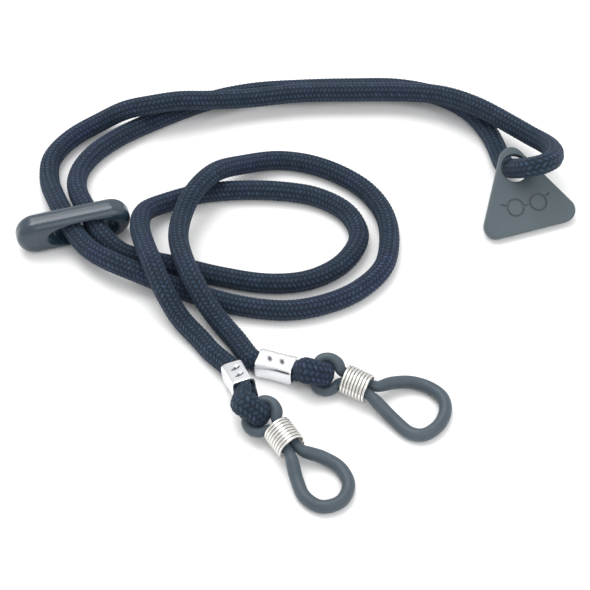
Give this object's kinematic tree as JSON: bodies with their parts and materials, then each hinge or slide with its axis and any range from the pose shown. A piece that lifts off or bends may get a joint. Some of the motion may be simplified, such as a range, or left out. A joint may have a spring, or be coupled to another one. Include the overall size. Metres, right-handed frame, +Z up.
{
  "type": "eyeglass retainer strap",
  "caption": "Braided cord eyeglass retainer strap with a sliding adjuster bead, a triangular hang tag, crimped ferrules and rubber temple loops held by wire coil sleeves",
  "frame": {"origin": "Middle of the strap's outline on the table it lies on, at table height.", "axes": "+Z is up from the table. -Y is towards the rubber loops and +Y towards the doubled back of the cord. +X is to the right, towards the tag."},
  "size_m": [0.1124, 0.11, 0.014],
  "materials": {
    "sheath": "woven navy braid",
    "core": "loose core yarns",
    "ferrule": "bright nickel plate",
    "coil": "nickel plated spring wire",
    "rubber": "satin grey rubber",
    "slider": "smooth moulded grey",
    "tag": "matte moulded grey"
  },
  "bodies": {
    "strap": {"cord_sheath": "sheath", "cord_core": "core", "cord_eye_left": "sheath", "cord_eye_right": "sheath", "ferrule_left": "ferrule", "ferrule_right": "ferrule"},
    "slider": {"slider_bead": "slider"},
    "tag": {"tag": "tag"},
    "loop_left": {"rubber_loop_left": "rubber"},
    "loop_right": {"rubber_loop_right": "rubber"},
    "sleeve_left": {"coil_sleeve_left": "coil"},
    "sleeve_right": {"coil_sleeve_right": "coil"}
  },
  "joints": [
    {"name": "slider_slide", "type": "slide", "parent": "strap", "child": "slider", "axis": [-0.4446, 0.8957, 0], "range_m": [0, 0.003]},
    {"name": "tag_swing", "type": "hinge", "parent": "strap", "child": "tag", "pos_m": [0.04383, 0.02365, 0.0075], "axis": [-0.9483, -0.3173, 0], "range_deg": [0, 12]},
    {"name": "loop_left_swing", "type": "hinge", "parent": "strap", "child": "loop_left", "pos_m": [-0.0083, -0.03445, 0.0043], "axis": [-0.6028, -0.6783, -0.4201], "range_deg": [0, 60]},
    {"name": "loop_right_swing", "type": "hinge", "parent": "strap", "child": "loop_right", "pos_m": [0.0033, -0.0253, 0.0037], "axis": [-0.1814, -0.7787, -0.6006], "range_deg": [0, 60]},
    {"name": "sleeve_left_slide", "type": "slide", "parent": "loop_left", "child": "sleeve_left", "axis": [0.5666, -0.8194, -0.0872], "range_m": [0, 0.003], "deforming": ["rubber_loop_left"]},
    {"name": "sleeve_right_slide", "type": "slide", "parent": "loop_right", "child": "sleeve_right", "axis": [0.8787, -0.4745, -0.0527], "range_m": [0, 0.003], "deforming": ["rubber_loop_right"]}
  ]
}
